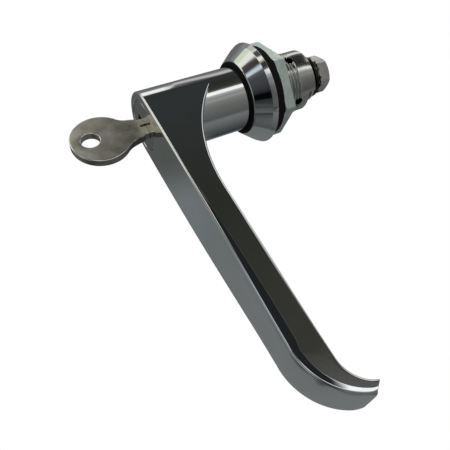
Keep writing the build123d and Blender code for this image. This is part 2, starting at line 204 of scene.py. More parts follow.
def turn(y, r, angle):
    """Point at radius r and angle (degrees from +X towards +Z) about the lock axis."""
    return (r * cos(radians(angle)), y, r * sin(radians(angle)))


def lathe(bm, profile, start=0.0, span=360.0, steps=160):
    """Revolve (y, r) points about the lock axis."""
    add_grid(bm, [[turn(y, r, start + span * k / steps) for y, r in profile] for k in range(steps + 1)])


def arc(cx, cy, r, a0, a1, steps):
    """Points of an arc in a plane, angles in degrees."""
    angles = [radians(a0 + (a1 - a0) * k / steps) for k in range(steps + 1)]
    return [(cx + r * cos(a), cy + r * sin(a)) for a in angles]


def rounded(points, radius, steps=4, closed=False):
    """Round the corners of a profile."""
    count = len(points)
    picks = range(count) if closed else range(1, count - 1)
    out = [] if closed else [points[0]]
    for i in picks:
        here = Vector(points[i])
        before = Vector(points[i - 1]) - here
        after = Vector(points[(i + 1) % count]) - here
        reach = min(radius, 0.45 * before.length, 0.45 * after.length)
        p0 = here + before.normalized() * reach
        p1 = here + after.normalized() * reach
        for k in range(steps + 1):
            t = k / steps
            out.append(tuple((1 - t) ** 2 * p0 + 2 * t * (1 - t) * here + t * t * p1))
    out.append(out[0] if closed else points[-1])
    return out


def ring(bm, y0, y1, inner, outer, edge, steps=128):
    """Closed ring with rounded edges."""
    lathe(bm, rounded([(y0, inner), (y0, outer), (y1, outer), (y1, inner)], edge, closed=True), steps=steps)


def rod(bm, start, end, radius, steps=48):
    """Closed straight bar between two points."""
    way = Vector(end) - Vector(start)
    turned = way.to_track_quat("Z", "Y").to_matrix().to_4x4()
    turned.translation = (Vector(start) + Vector(end)) / 2
    bmesh.ops.create_cone(bm, cap_ends=True, segments=steps, radius1=radius, radius2=radius,
                          depth=way.length, matrix=turned)


def block(bm, low, high):
    """Closed block between two opposite corners."""
    size = [b - a for a, b in zip(low, high)]
    middle = [(a + b) / 2 for a, b in zip(low, high)]
    bmesh.ops.create_cube(bm, size=1.0, matrix=Matrix.Translation(middle) @ Matrix.Diagonal((*size, 1.0)))


def cut(bm, cutter):
    """The first closed mesh less the second; both are used up."""
    pair = []
    for part in (bm, cutter):
        bmesh.ops.recalc_face_normals(part, faces=part.faces)
        mesh = bpy.data.meshes.new("cut")
        part.to_mesh(mesh)
        part.free()
        obj = bpy.data.objects.new("cut", mesh)
        bpy.context.scene.collection.objects.link(obj)
        pair.append(obj)
    body, tool = pair
    modifier = body.modifiers.new("cut", "BOOLEAN")
    modifier.operation = "DIFFERENCE"
    modifier.solver = "EXACT"
    modifier.object = tool
    mesh = bpy.data.meshes.new_from_object(body.evaluated_get(bpy.context.evaluated_depsgraph_get()))
    result = bmesh.new()
    result.from_mesh(mesh)
    for obj in pair:
        spare = obj.data
        bpy.data.objects.remove(obj)
        bpy.data.meshes.remove(spare)
    bpy.data.meshes.remove(mesh)
    return result


# Node helpers
def new_material(name):
    """A material with its node tree and its shader."""
    material = bpy.data.materials.new(name)
    material.use_nodes = True
    tree = material.node_tree
    shader = tree.nodes["Principled BSDF"]
    return material, tree, shader


def link(tree, a, b):
    tree.links.new(a, b)


def coords(tree):
    """Places in the object's own frame, in metres."""
    return tree.nodes.new("ShaderNodeTexCoord").outputs["Object"]


def noise(tree, vector, scale, detail=3.0, rough=0.55):
    node = tree.nodes.new("ShaderNodeTexNoise")
    node.inputs["Scale"].default_value = scale
    node.inputs["Detail"].default_value = detail
    node.inputs["Roughness"].default_value = rough
    link(tree, vector, node.inputs["Vector"])
    return node.outputs["Fac"]


def ramp(tree, value, stops):
    """Colours or greys laid out along a value, as (place, colour) stops."""
    node = tree.nodes.new("ShaderNodeValToRGB")
    elements = node.color_ramp.elements
    while len(elements) < len(stops):
        elements.new(0.5)
    for element, (place, colour) in zip(elements, stops):
        element.position = place
        element.color = (*colour, 1) if hasattr(colour, "__len__") else (colour, colour, colour, 1)
    link(tree, value, node.inputs["Fac"])
    return node.outputs["Color"]


def bump(tree, shader, height, strength):
    """Fine relief, a tenth of a millimetre deep at full strength."""
    node = tree.nodes.new("ShaderNodeBump")
    node.inputs["Strength"].default_value = strength
    node.inputs["Distance"].default_value = 0.1 * MM
    link(tree, height, node.inputs["Height"])
    link(tree, node.outputs["Normal"], shader.inputs["Normal"])


def metal(name, dark, light, rough, grain=400.0, bump_strength=0.05, patch=120.0, metallic=1.0):
    """Metal with a mottled colour, an uneven polish and a fine grain."""
    material, tree, shader = new_material(name)
    shader.inputs["Metallic"].default_value = metallic
    where = coords(tree)
    cloud = noise(tree, where, patch, 4.0)
    link(tree, ramp(tree, cloud, [(0.3, dark), (0.7, light)]), shader.inputs["Base Color"])
    low, high = rough
    fine = noise(tree, where, grain, 5.0, 0.65)
    link(tree, ramp(tree, fine, [(0.3, low), (0.75, high)]), shader.inputs["Roughness"])
    bump(tree, shader, fine, bump_strength)
    return material


def soft_material(name, dark, light, rough, grain, bump_strength, specular=0.5):
    """Rubber or plastic with a mottled colour and a fine surface grain."""
    material, tree, shader = new_material(name)
    fine = noise(tree, coords(tree), grain, 4.0)
    link(tree, ramp(tree, fine, [(0.3, dark), (0.7, light)]), shader.inputs["Base Color"])
    low, high = rough
    link(tree, ramp(tree, fine, [(0.3, low), (0.7, high)]), shader.inputs["Roughness"])
    shader.inputs["Specular IOR Level"].default_value = specular
    bump(tree, shader, fine, bump_strength)
    return material


# Finishes: darker and lighter colour, then the range of roughness
chrome = metal("chrome_plate", (0.60, 0.61, 0.62), (0.66, 0.665, 0.67), (0.03, 0.075),
               grain=900, bump_strength=0.012)
plug_metal = metal("plug_nickel", (0.42, 0.43, 0.42), (0.52, 0.53, 0.51), (0.12, 0.24),
                   grain=700, bump_strength=0.03)
key_metal = metal("key_nickel", (0.31, 0.30, 0.26), (0.52, 0.50, 0.44), (0.26, 0.4),
                  grain=420, patch=300, bump_strength=0.03)
# Lighter, smoother metal for the key's rounded edges: rubbed wear and a painted highlight
key_edge_wear_and_sheen = metal("key_edge", (0.80, 0.78, 0.72), (0.95, 0.93, 0.87), (0.10, 0.2),
                       grain=420, bump_strength=0.02)
nut_metal = metal("zinc_nut", (0.66, 0.77, 0.72), (0.87, 0.95, 0.91), (0.32, 0.48),
                  grain=900, patch=260, bump_strength=0.1)
barrel_metal = metal("barrel_plate", (0.47, 0.47, 0.455), (0.60, 0.60, 0.58), (0.13, 0.19),
                     grain=800, bump_strength=0.03)
washer_metal = metal("zinc_washer", (0.60, 0.61, 0.60), (0.75, 0.75, 0.74), (0.25, 0.4),
                     grain=900, bump_strength=0.06)
# Near-black steel: painted shade on the parts in shadow, the spindle, the spacer, the flat washer and the
# barrel's inside
shade_painted_metal = metal("dark_steel", (0.02, 0.02, 0.02), (0.05, 0.05, 0.05), (0.3, 0.45),
                   grain=900, bump_strength=0.1)
tooth_metal = metal("tooth_steel", (0.10, 0.09, 0.08), (0.30, 0.28, 0.26), (0.2, 0.4),
                    grain=900, patch=500, bump_strength=0.1)
screw_metal = metal("zinc_screw", (0.33, 0.315, 0.30), (0.52, 0.495, 0.475), (0.24, 0.38),
                    grain=900, patch=300, bump_strength=0.1, metallic=0.9)
steel = metal("plain_steel", (0.4, 0.4, 0.4), (0.5, 0.5, 0.5), (0.3, 0.45))
brass = metal("plain_brass", (0.62, 0.48, 0.22), (0.74, 0.60, 0.30), (0.25, 0.4))
spring_metal = metal("spring_wire", (0.5, 0.5, 0.5), (0.6, 0.6, 0.6), (0.25, 0.35))
rubber = soft_material("black_rubber", (0.002, 0.002, 0.002), (0.005, 0.005, 0.005), (0.6, 0.8),
                       grain=1500, bump_strength=0.15, specular=0.12)
nylon = soft_material("nylon", (0.70, 0.70, 0.66), (0.78, 0.78, 0.74), (0.4, 0.5),
                      grain=900, bump_strength=0.05)

node_finishes = {
    "housing": barrel_metal, "panel_gasket": rubber, "mounting_nut": nut_metal, "neck_seal": rubber,
    "thrust_washer": nylon, "l_handle": chrome, "lock_plug": plug_metal, "wafers": brass,
    "plug_retainer": brass, "wafer_springs": spring_metal, "retainer_spring": spring_metal,
    "tail_shaft": steel, "locking_pin": steel, "stop_plate": steel, "keyed_washer": washer_metal,
    # The spacer and the plain washer are near-black as painted shade between the washers
    "tooth_washer": tooth_metal, "spacer": shade_painted_metal, "plain_washer": shade_painted_metal,
    "cam_screw": screw_metal, "key": key_metal,
}
for node, material in node_finishes.items():
    mesh = nodes[node].data
    mesh.materials.clear()
    mesh.materials.append(material)
    mesh.shade_smooth()
    mesh.set_sharp_from_angle(angle=radians(30))


# Lever: its outline from the front, made of two tangent arcs down each side
def side_arc(z, z0, x0, slope0, z1, x1):
    """x and slope dx/dz at height z on the arc from (x0, z0), leaving at slope0, to (x1, z1)."""
    start, end = Vector((x0, z0)), Vector((x1, z1))
    way = Vector((slope0, 1.0)).normalized() * (1 if z1 > z0 else -1)
    side = Vector((-way.y, way.x))
    chord = end - start
    bend = 2 * chord.dot(side) / chord.length_squared
    centre = start + side / bend
    root = sqrt(1 / bend**2 - (z - centre.y) ** 2)
    if centre.x > start.x:
        root = -root
    return centre.x + root, -(z - centre.y) / root


WAIST_SLOPE = side_arc(WAIST_Z, 0.0, NECK_R, 0.0, WAIST_Z, WAIST_W)[1]


def half_width(z):
    """Half the lever's width at height z."""
    if z >= WAIST_Z:
        return side_arc(z, 0.0, NECK_R, 0.0, WAIST_Z, WAIST_W)[0]
    return side_arc(max(z, TIP_Z), WAIST_Z, WAIST_W, WAIST_SLOPE, TIP_Z, TIP_W)[0]


TIP_START_Z = TIP_Z + TIP_OUT_R * sin(radians(TIP_OUT_TURN))
HOLLOW_START_Z = TIP_Z + TIP_END + TIP_IN_R * sin(radians(TIP_IN_TURN))


def face_y(z):
    """The front face leans out a little towards the tip."""
    return FACE_Y + (LOW_Y - FACE_Y) * min(max(z / TIP_START_Z, 0), 1)


def rear_y(z):
    """The rear face, with the arc that rises into the neck."""
    if z <= SHOULDER_Z:
        return REAR_Y
    return REAR_Y + SHOULDER_R - sqrt(SHOULDER_R**2 - (z - SHOULDER_Z) ** 2)


def edge_share(z):
    """How far the steep bevel has grown at height z: 0 where there is none, 1 at its full depth."""
    t = min(max((-z - BEVEL_START) / BEVEL_SPAN, 0), 1)
    return t * t * (3 - 2 * t)


# Places of a section's points: on the face, down the bevel, along the side and on the rear face
FACE_SHARES = (0, 0.3, 0.55, 0.7, 0.8, 0.9, 0.96)
BEVEL_SHARES = (0.1, 0.5, 0.9, 1.0)
SIDE_SHARES = (0.04, 0.2, 0.4, 0.6, 0.8, 0.96)
REAR_SHARES = (0.9, 0.6, 0.3, 0)
FACE_COUNT = len(FACE_SHARES)
EDGE_STEPS = 8
REAR_STEPS = 5


def lever_section(front, rear, w_front, w_rear, bevel):
    """Half a section of the lever, from the middle of the front face to the middle of the rear face."""
    front, rear = Vector(front), Vector(rear)
    along = (rear - front).normalized()
    length = (rear - front).length
    edge = w_front - BEVEL_WIDE * bevel
    flat = edge - FACE_ROUND
    crown = CROWN * bevel
    top = crown + FACE_ROUND
    depth = top + BEVEL_LEAST + (BEVEL_DEEP - BEVEL_LEAST) * bevel
    inner = length - REAR_ROUND

    # Half width and depth of each point
    points = []
    for t in FACE_SHARES:
        points.append((flat * t, crown * max(0, (t - CROWN_START) / (1 - CROWN_START)) ** 2))
    for k in range(EDGE_STEPS + 1):
        a = radians(90 * k / EDGE_STEPS)
        points.append((flat + FACE_ROUND * sin(a), crown + FACE_ROUND * (1 - cos(a))))
    for t in BEVEL_SHARES:
        points.append((edge + (w_front - edge) * t, top + (depth - top) * t))
    for t in SIDE_SHARES:
        below = (inner - depth) * t
        points.append((w_front + (w_rear - w_front) * below / (length - depth), depth + below))
    for k in range(REAR_STEPS + 1):
        a = radians(90 * k / REAR_STEPS)
        points.append((w_rear - REAR_ROUND * (1 - cos(a)), inner + REAR_ROUND * sin(a)))
    for t in REAR_SHARES:
        points.append(((w_rear - REAR_ROUND) * t, length))
    return [(x, *(front + along * deep)) for x, deep in points]


def mirrored(bm, rows):
    """Add the rows' grid and its mirror image in x."""
    for sign in (1, -1):
        add_grid(bm, [[(sign * x, y, z) for x, y, z in row] for row in rows])


def corner_drawn_back(row, pull, turned):
    """Draw a section's front corner back and inwards, where the face has turned by some radians."""
    widest = max(x for x, y, z in row)
    thick = row[-1][2] - row[0][2]
    out = []
    for x, y, z in row:
        share = pull * (x / widest) ** TIP_CORNER_POWER * (row[-1][2] - z) / thick
        y += share * (cos(turned) - sin(turned))
        z += share * (cos(turned) + sin(turned))
        out.append((x, y, z))
    return out


# Heights of the lever's sections, and places along the axis of the neck's rings
HEAD_HEIGHTS = [0.0, -0.6, -1.2, -2.0, -3.0, -4.2, -5.6, -7.2, -9.0]
BLADE_HEIGHTS = [-9.0, -11, -13, -15.5, -18, -21, -24, -27.5, -31]
BLADE_HEIGHTS += [SHOULDER_Z - 3 * k for k in range(14)]
TIP_STEPS = 28
HEAD_PLACES = (-31, -26, -21, -17)
UNDER_PLACES = (-20, -16, -14.4)
UNDER_START_Y = -33.0
NECK_PLACES = (-14, -13, -12, -11, -9, -7, -5.2, -3.6, NECK_END_Y - NECK_EDGE)
NECK_STEPS = 80


def section_at(z):
    """The section at height z, above the curled tip."""
    w = half_width(z)
    return lever_section((face_y(z), z), (rear_y(z), z), w, w, edge_share(z))


def tip_sections():
    """Sections round the curled tip, where the front and rear faces are arcs."""
    rows = []
    for k in range(TIP_STEPS + 1):
        t = k / TIP_STEPS
        a, b = radians(TIP_OUT_TURN * t), radians(TIP_IN_TURN * t)
        front = (LOW_Y + TIP_OUT_R * (1 - cos(a)), TIP_START_Z - TIP_OUT_R * sin(a))
        rear = (REAR_Y + TIP_IN_R * (1 - cos(b)), HOLLOW_START_Z - TIP_IN_R * sin(b))
        bevel = 1 - TIP_BEVEL_LOSS * t**1.5
        row = lever_section(front, rear, half_width(front[1]), half_width(rear[1]), bevel)
        pull = TIP_CORNER_BACK * max(0, (t - TIP_CORNER_START) / (1 - TIP_CORNER_START)) ** 2
        rows.append(corner_drawn_back(row, pull, a))
    return rows


def add_tip_end(bm, row):
    """Close the tip behind its last section with an end face, a little rounded."""
    last = [Vector(point) for point in row]
    middle = (last[0] + last[-1]) / 2
    thick = last[-1].z - last[0].z
    face = []
    for point in last:
        proud = TIP_FACE_PROUD + TIP_FACE_LEAN * (point.z - last[0].z) / thick
        face.append(middle + (point - middle) * TIP_FACE_SHARE + Vector((0, proud, 0)))
    mirrored(bm, [last, face, [(0, point.y, point.z) for point in face]])


def add_head_face(bm, head):
    """The head's face below the plug's bore, and the lower half of the bore's mouth."""
    rim = [row[FACE_COUNT] for row in head] + head[-1][FACE_COUNT - 1::-1]
    edge, lip, wall = [], [], []
    for x, y, z in rim:
        reach = sqrt(x * x + z * z)
        edge_z = BORE_EDGE_R * z / reach
        bore_x, bore_z = PLUG_BORE_R * x / reach, PLUG_BORE_R * z / reach
        edge.append((BORE_EDGE_R * x / reach, face_y(edge_z), edge_z))
        lip.append((bore_x, face_y(edge_z) + BORE_LIP, bore_z))
        wall.append((bore_x, BORE_MOUTH_Y, bore_z))
    mirrored(bm, [rim, edge, lip, wall])


def add_neck(bm, top_row):
    """Upper half of the head from its topmost section, the neck all round, and the plug's bore."""
    edge = [(y, x) for x, y, z in top_row[FACE_COUNT:FACE_COUNT + EDGE_STEPS + 1]]
    mouth = [(BORE_MOUTH_Y, PLUG_BORE_R), (FACE_Y + BORE_LIP, PLUG_BORE_R), (FACE_Y, BORE_EDGE_R)]
    upper = [(y, NECK_R) for y in HEAD_PLACES]
    under = [(UNDER_START_Y, NECK_R - FIT_GAP)] + [(y, NECK_R) for y in UNDER_PLACES]
    neck = [(y, NECK_R) for y in NECK_PLACES]
    neck += [(NECK_END_Y, NECK_R - NECK_EDGE), (NECK_END_Y, SPINDLE_R)]
    bore = [(BORE_MOUTH_Y, PLUG_BORE_R), (PLUG_BORE_END, PLUG_BORE_R), (PLUG_BORE_END, TAIL_BORE_R)]
    lathe(bm, mouth + edge + upper + neck, 0, 180, NECK_STEPS)
    lathe(bm, under + neck, 180, 180, NECK_STEPS)
    lathe(bm, bore, steps=NECK_STEPS)


def make_lever():
    """Head, lever and curled tip, and the neck: the casting's outside, with the plug's bore in its head."""
    bm = bmesh.new()
    head = [section_at(z) for z in HEAD_HEIGHTS]
    tip = tip_sections()
    mirrored(bm, [row[FACE_COUNT:] for row in head])
    mirrored(bm, [section_at(z) for z in BLADE_HEIGHTS] + tip)
    add_tip_end(bm, tip[-1])
    add_head_face(bm, head)
    add_neck(bm, head[0])
    return bm


def make_spindle():
    """Spindle with flats at its end, the tail shaft's bore and the locking pin's cross bore."""
    bm = bmesh.new()
    profile = [(NECK_END_Y, 0.0), (NECK_END_Y, SPINDLE_R), (FLATS_Y - SPINDLE_EDGE, SPINDLE_R),
               (FLATS_Y, SPINDLE_R - SPINDLE_EDGE), (FLATS_Y, FLATS_R), (SPINDLE_END, FLATS_R),
               (SPINDLE_END, 0.0)]
    lathe(bm, profile, steps=96)
    bmesh.ops.remove_doubles(bm, verts=bm.verts, dist=WELD)
    tools = bmesh.new()
    past_end = SPINDLE_END + CUTTER_PAST
    for low_z, high_z in ((FLATS_HALF, CUTTER_REACH), (-CUTTER_REACH, -FLATS_HALF)):
        block(tools, (-CUTTER_REACH, FLATS_Y, low_z), (CUTTER_REACH, past_end, high_z))
    rod(tools, (0, WINDOW_Y, -CUTTER_REACH), (0, WINDOW_Y, PIN_BORE_TOP), PIN_BORE_R)
    bm = cut(bm, tools)
    bores = bmesh.new()
    rod(bores, (0, NECK_END_Y - CUTTER_PAST, 0), (0, WINDOW_Y + CUTTER_PAST, 0), TAIL_BORE_R)
    rod(bores, (0, SCREW_BORE_Y, 0), (0, past_end, 0), SCREW_R)
    return cut(bm, bores)


# Housing: escutcheon cone with its rim, and the threaded barrel
def make_escutcheon():
    """Hollow cone with a rounded nose and a narrow rim, flat behind, with the neck ring's seat in it."""
    bm = bmesh.new()
    front = [(SEAL_FLOOR_Y, SEAL_BORE_R), (NOSE_Y + NOSE_CHAMFER, SEAL_BORE_R),
             (NOSE_Y, SEAL_BORE_R + NOSE_CHAMFER), (NOSE_Y, NOSE_R), (CONE_START_Y, CONE_START_R),
             (CONE_END_Y, CONE_END_R), (RIM_Y, RIM_R), (0.0, RIM_REAR_R), (0.0, THREAD_ROOT)]
    seat = [(SEAL_FLOOR_Y, SEAL_BORE_R), (SEAL_FLOOR_Y, HOUSING_BORE_R), (0.0, HOUSING_BORE_R)]
    lathe(bm, rounded(front, CONE_ROUND, 3), steps=192)
    lathe(bm, seat, steps=96)
    return bm


def barrel_radius(y, angle):
    """The barrel's outside: a right-hand thread that runs out into the plain end."""
    if y > RUNOUT_END:
        return BARREL_R
    t = (y / THREAD_PITCH - angle / 360.0) % 1.0
    ridge = abs(2 * t - 1)
    crest = min(max((ridge - THREAD_FLAT) / THREAD_FLANK, 0), 1)
    thread = THREAD_ROOT + (THREAD_R - THREAD_ROOT) * crest
    share = min(max((RUNOUT_END - y) / RUNOUT_SPAN, 0), 1)
    return BARREL_R + (thread - BARREL_R) * share


def window_edge_radius(y, angle):
    """The barrel's outside, a little lower where a window's edge is broken."""
    return barrel_radius(y, angle) - WINDOW_EDGE_DEPTH


def bore_radius(y, angle):
    """The barrel's inside, which is plain."""
    return HOUSING_BORE_R


# Grid of the barrel's wall, in degrees, and the square patches of it round the windows
ANGLE_STEP = 2
COLUMNS = 360 // ANGLE_STEP
PATCH = 2.1
PATCH_ROWS = 28
PATCH_COLUMNS = 7
WINDOW_STEPS = 8


def barrel_rows():
    """Places along the barrel for its grid, and the numbers of the rows at both ends of the windows."""
    count = int(THREAD_ROWS * (WINDOW_Y - PATCH) / THREAD_PITCH)
    rows = [THREAD_PITCH * k / THREAD_ROWS for k in range(count + 1)]
    low, high = rows[-1], WINDOW_Y + PATCH
    rows += [low + (high - low) * k / PATCH_ROWS for k in range(1, PATCH_ROWS + 1)]
    rows += [high + 0.5, high + 1.0, BARREL_END - BARREL_EDGE]
    return rows, count, count + PATCH_ROWS


def holed_wall(bm, radius_at, rings):
    """One side of the barrel's wall: a grid whose square gaps are filled in to round windows.

    A ring says how far it has come from the square to the circle, the circle's radius, the radius at which
    it is laid out, and the wall that it lies on.
    """
    rows, first, last = barrel_rows()
    grid = {}

    def vertex(i, j):
        place = (i, j % COLUMNS)
        if place not in grid:
            angle = place[1] * ANGLE_STEP
            grid[place] = bm.verts.new(turn(rows[i], radius_at(rows[i], angle), angle))
        return grid[place]

    gaps = set()
    for window in WINDOW_ANGLES:
        left = window // ANGLE_STEP - PATCH_COLUMNS
        right = left + 2 * PATCH_COLUMNS
        gaps.update((i, j % COLUMNS) for i in range(first, last) for j in range(left, right))
        border = [(first, j) for j in range(left, right)]
        border += [(i, right) for i in range(first, last)]
        border += [(last, j) for j in range(right, left, -1)]
        border += [(i, left) for i in range(last, first, -1)]
        before = [vertex(i, j) for i, j in border]
        for share, hole_r, laid_r, ring_radius_at in rings:
            here = []
            for i, j in border:
                offset = Vector((rows[i] - WINDOW_Y, radians(j * ANGLE_STEP - window) * laid_r))
                place = offset.lerp(offset.normalized() * hole_r, share)
                y, angle = WINDOW_Y + place.x, window + degrees(place.y / laid_r)
                here.append(bm.verts.new(turn(y, ring_radius_at(y, angle), angle)))
            for k in range(len(here)):
                bm.faces.new([before[k - 1], before[k], here[k], here[k - 1]])
            before = here
    for i in range(len(rows) - 1):
        for j in range(COLUMNS):
            if (i, j) not in gaps:
                bm.faces.new([vertex(i, j), vertex(i + 1, j), vertex(i + 1, j + 1), vertex(i, j + 1)])


def make_barrel():
    """Threaded barrel with its two round locking windows and the stop sector at its end."""
    bm = bmesh.new()
    shares = [k / WINDOW_STEPS for k in range(1, WINDOW_STEPS + 1)]
    outside = [(share, WINDOW_R + WINDOW_EDGE, BARREL_R, barrel_radius) for share in shares]
    outside += [(1, WINDOW_R, BARREL_R, window_edge_radius), (1, WINDOW_R, HOUSING_BORE_R, bore_radius)]
    inside = [(share, WINDOW_R, HOUSING_BORE_R, bore_radius) for share in shares]
    holed_wall(bm, barrel_radius, outside)
    holed_wall(bm, bore_radius, inside)

    # Open half of the end, the stop sector with its two end walls, and the bore's last stretch
    wall_end = (BARREL_END - BARREL_EDGE, BARREL_R)
    end_edge = (BARREL_END, BARREL_R - BARREL_EDGE)
    bore_end = (BARREL_END, HOUSING_BORE_R)
    stop = [wall_end, (STOP_TOP - STOP_EDGE, BARREL_R), (STOP_TOP, BARREL_R - STOP_EDGE),
            (STOP_TOP, HOUSING_BORE_R + STOP_BORE_EDGE), (STOP_TOP - STOP_BORE_EDGE, HOUSING_BORE_R),
            bore_end]
    span = STOP_END - STOP_START
    lathe(bm, [wall_end, end_edge, bore_end], STOP_END, 360 - span, (360 - span) // ANGLE_STEP)
    lathe(bm, stop, STOP_START, span, span // ANGLE_STEP)
    for angle in (STOP_START, STOP_END):
        bm.faces.new([bm.verts.new(turn(y, r, angle)) for y, r in stop + [end_edge]])
    lathe(bm, [(BARREL_END - BARREL_EDGE, HOUSING_BORE_R), bore_end], steps=COLUMNS)
    return bm


# Hexagons: flats with their corners turned back by a cone at each end, and closer points near the corners
FLAT_ANGLES = (0, 0.6, 2, 4, 7, 10, 14, 18, 22, 26, 30, 34, 38, 42, 46, 50, 53, 56, 58, 59.4)


def hexagon(y0, y1, flats, turn_deg, front_cut, rear_cut, bore=0.0, bore_lead=0.0):
    """Hexagonal prism along the axis: how deep the cones take its corners, and its bore's chamfer."""
    bm = bmesh.new()
    corner = flats / 2 / cos(radians(30))
    rows = []
    for a in [k * 60 + angle for k in range(6) for angle in FLAT_ANGLES] + [360]:
        side = flats / 2 / cos(radians(a % 60 - 30))
        front_r = min(side, corner - front_cut / HEX_SLOPE)
        rear_r = min(side, corner - rear_cut / HEX_SLOPE)
        front = [(y0 + bore_lead, bore), (y0, bore + bore_lead), (y0, front_r),
                 (y0 + (side - front_r) * HEX_SLOPE, side)]
        rear = [(y1 - (side - rear_r) * HEX_SLOPE, side), (y1, rear_r), (y1, bore + bore_lead),
                (y1 - bore_lead, bore)]
        closing = front[:1] if bore else []
        rows.append([turn(y, r, a + turn_deg) for y, r in front + rear + closing])
    add_grid(bm, rows)
    return bm


def make_screw():
    """Hexagon head, and the plain shank that runs down into the spindle."""
    bm = hexagon(HEAD_Y, HEAD_END, HEAD_FLATS, HEAD_TURN, HEAD_FRONT_CUT, HEAD_REAR_CUT)
    shank = [(SCREW_TIP, 0.0), (SCREW_TIP, SHANK_R - SHANK_POINT), (SCREW_TIP + SHANK_LEAD, SHANK_R),
             (HEAD_Y, SHANK_R)]
    lathe(bm, shank, steps=64)
    return bm


BOX_FACES = ((0, 1, 3, 2), (4, 6, 7, 5), (0, 4, 5, 1), (2, 3, 7, 6), (0, 2, 6, 4), (1, 5, 7, 3))


def make_tooth_washer():
    """Lock washer: a flat ring, and teeth on its rim that are each twisted out of its plane."""
    bm = bmesh.new()
    ring(bm, TOOTH_MID_Y - TOOTH_RING_HALF, TOOTH_MID_Y + TOOTH_RING_HALF, WASHER_BORE_R, TOOTH_RING_R,
         TOOTH_RING_EDGE, steps=84)
    pitch = 360 / TOOTH_COUNT
    for tooth in range(TOOTH_COUNT):
        middle = (tooth + 0.5) * pitch
        corners = []
        for r in (TOOTH_ROOT_R, TOOTH_TIP_R):
            twist = TOOTH_TWIST + TOOTH_TWIST_OUT * (r - TOOTH_ROOT_R)
            for share in (-TOOTH_SHARE, TOOTH_SHARE):
                for half in (-TOOTH_HALF, TOOTH_HALF):
                    y = TOOTH_MID_Y + share * twist + half
                    y = min(max(y, TOOTH_Y + FIT_GAP), HEAD_Y - FIT_GAP)
                    corners.append(bm.verts.new(turn(y, r, middle + share * pitch)))
        for quad in BOX_FACES:
            bm.faces.new([corners[k] for k in quad])
    return bm


# Key: a flat plate with rounded edges, then the grooves in its blade
def key_outline():
    """The key's outline: bow, tapering neck, shoulder and the blade with its cuts."""
    root_y = BOW_Y + BOW_R
    taper = (KEY_ROOT_HALF - KEY_SHOULDER_HALF) / (KEY_SHOULDER_Y - root_y)

    def neck_half(y):
        return KEY_ROOT_HALF - taper * (y - root_y)

    neck = {}
    for side in (1, -1):
        y = BOW_Y + BOW_R * 0.6
        while (y - BOW_Y) ** 2 + (KEY_MID + side * neck_half(y) - BOW_Z) ** 2 < BOW_R**2:
            y += 0.01
        neck[side] = (y, KEY_MID + side * neck_half(y))
    start = degrees(atan2(neck[1][1] - BOW_Z, neck[1][0] - BOW_Y))
    end = 360 + degrees(atan2(neck[-1][1] - BOW_Z, neck[-1][0] - BOW_Y))
    bow = arc(BOW_Y, BOW_Z, BOW_R, start + BOW_LEAD, end - BOW_LEAD, 72)

    def soft_corner(side, on_bow):
        """Curve from the bow into the neck, hollow towards the corner."""
        corner = Vector(neck[side])
        y = corner.x + BOW_NECK_ROUND * 0.8
        p0, p1 = Vector(on_bow), Vector((y, KEY_MID + side * neck_half(y)))
        shares = [k / 8 for k in range(9)]
        return [tuple((1 - t) ** 2 * p0 + 2 * t * (1 - t) * corner + t * t * p1) for t in shares]

    top, bottom = KEY_MID + BLADE_HALF, KEY_MID - BLADE_HALF
    points = list(reversed(soft_corner(1, bow[0])))[:-1] + bow + soft_corner(-1, bow[-1])[1:]
    points.append((KEY_SHOULDER_Y, KEY_MID - KEY_SHOULDER_HALF))
    points.append((KEY_SHOULDER_Y, bottom))
    for place, depth in enumerate(CUT_DEPTHS):
        y = CUT_FIRST_Y + place * CUT_PITCH
        points += [(y - CUT_HALF - depth, bottom), (y - CUT_HALF, bottom + depth),
                   (y + CUT_HALF, bottom + depth), (y + CUT_HALF + depth, bottom)]
    points += [(BLADE_TIP_Y - BLADE_POINT, bottom), (BLADE_TIP_Y, KEY_MID - BLADE_POINT / 2),
               (BLADE_TIP_Y, KEY_MID + BLADE_POINT / 2), (BLADE_TIP_Y - BLADE_POINT, top),
               (KEY_SHOULDER_Y, top), (KEY_SHOULDER_Y, KEY_MID + KEY_SHOULDER_HALF)]
    return points


def plate(outlines, thickness, edge):
    """Flat plate across X from closed (y, z) outlines, with rounded edges."""
    curve = bpy.data.curves.new("plate", "CURVE")
    curve.dimensions = "2D"
    curve.fill_mode = "BOTH"
    curve.extrude = thickness / 2 - edge
    curve.bevel_depth = edge
    curve.bevel_resolution = 3
    curve.offset = -edge
    for outline in outlines:
        spline = curve.splines.new("POLY")
        spline.points.add(len(outline) - 1)
        for point, (y, z) in zip(spline.points, outline):
            point.co = (y, z, 0, 1)
        spline.use_cyclic_u = True
    obj = bpy.data.objects.new("plate", curve)
    bpy.context.scene.collection.objects.link(obj)
    mesh = bpy.data.meshes.new_from_object(obj.evaluated_get(bpy.context.evaluated_depsgraph_get()))
    bm = bmesh.new()
    bm.from_mesh(mesh)
    bpy.data.objects.remove(obj)
    bpy.data.curves.remove(curve)
    bpy.data.meshes.remove(mesh)
    stood_up = Matrix(((0, 0, 1, 0), (1, 0, 0, 0), (0, 1, 0, 0), (0, 0, 0, 1)))
    bmesh.ops.transform(bm, matrix=stood_up, verts=bm.verts)
    bmesh.ops.remove_doubles(bm, verts=bm.verts, dist=1e-3)
    return bm


def make_key():
    """Key with the ring's hole in its bow and a groove down each side of its blade."""
    ring_hole = arc(RING_Y, RING_Z, RING_R, 0, 355, 71)
    bm = plate([key_outline(), ring_hole], KEY_THICK, KEY_EDGE)
    grooves = bmesh.new()
    for side in (1, -1):
        floor, outside = KEY_THICK / 2 - GROOVE_DEPTH, KEY_THICK / 2 + CUTTER_PAST
        low, high = sorted((side * floor, side * outside))
        block(grooves, (low, KEY_SHOULDER_Y, GROOVE_LOW), (high, BLADE_TIP_Y + CUTTER_PAST, GROOVE_HIGH))
    return cut(bm, grooves)


